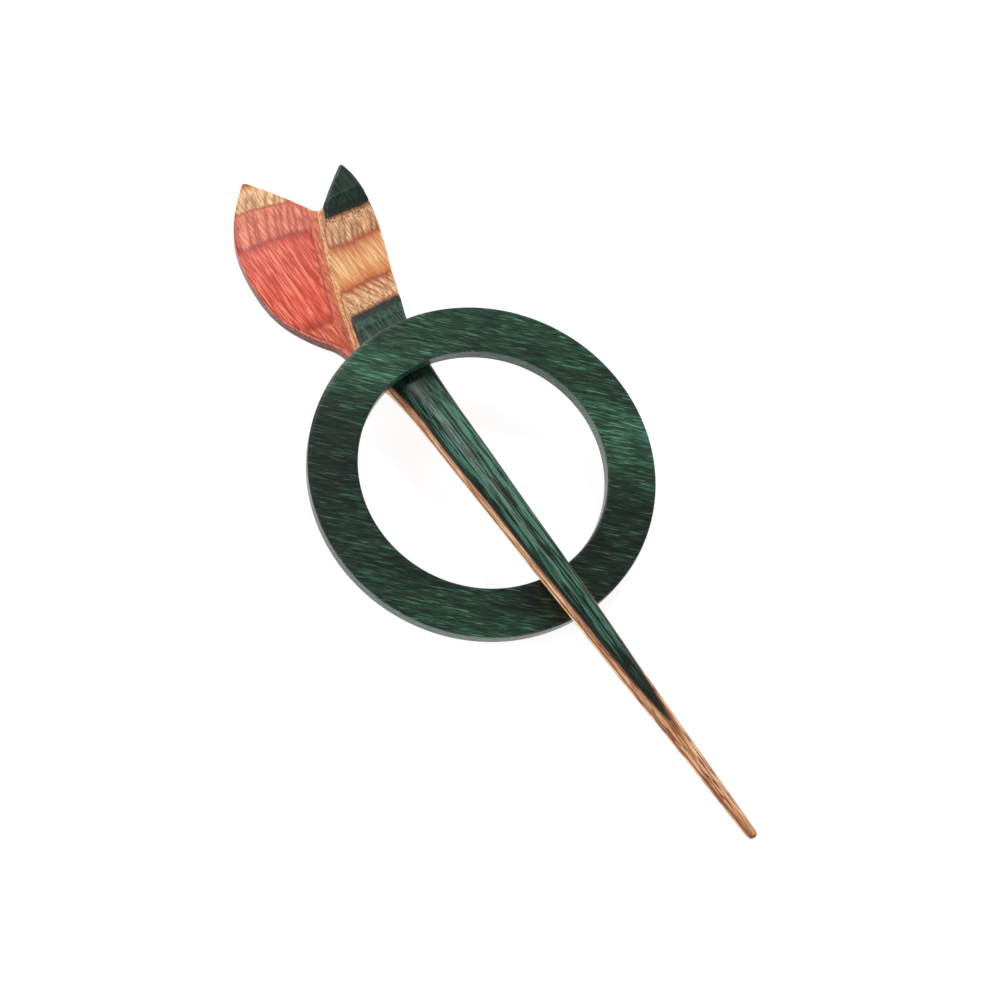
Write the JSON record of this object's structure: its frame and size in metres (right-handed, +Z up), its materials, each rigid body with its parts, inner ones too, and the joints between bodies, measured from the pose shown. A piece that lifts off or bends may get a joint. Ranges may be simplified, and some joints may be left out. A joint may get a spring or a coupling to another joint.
{
  "type": "shawl pin",
  "caption": "Wooden shawl pin: a flat round ring with a carved stick through it, which has a leaf-like head with two scooped lobes and tapers to a blunt tip.",
  "frame": {"origin": "on the table under the middle of the pin's length and width", "axes": "+X along the stick towards its tip, +Z up from the table, +Y to the right-hand lobe's side seen from the broad end"},
  "size_m": [0.1487, 0.06, 0.0116],
  "materials": {
    "green_laminated_wood": "satin lacquer",
    "banded_laminated_wood": "satin lacquer"
  },
  "bodies": {
    "stick": {"stick": "banded_laminated_wood"},
    "ring": {"ring": "green_laminated_wood"}
  },
  "joints": [
    {"name": "ring_slide", "type": "slide", "parent": "stick", "child": "ring", "axis": [0.9998, 0, 0.0195], "range_m": [0, 0.115]}
  ]
}
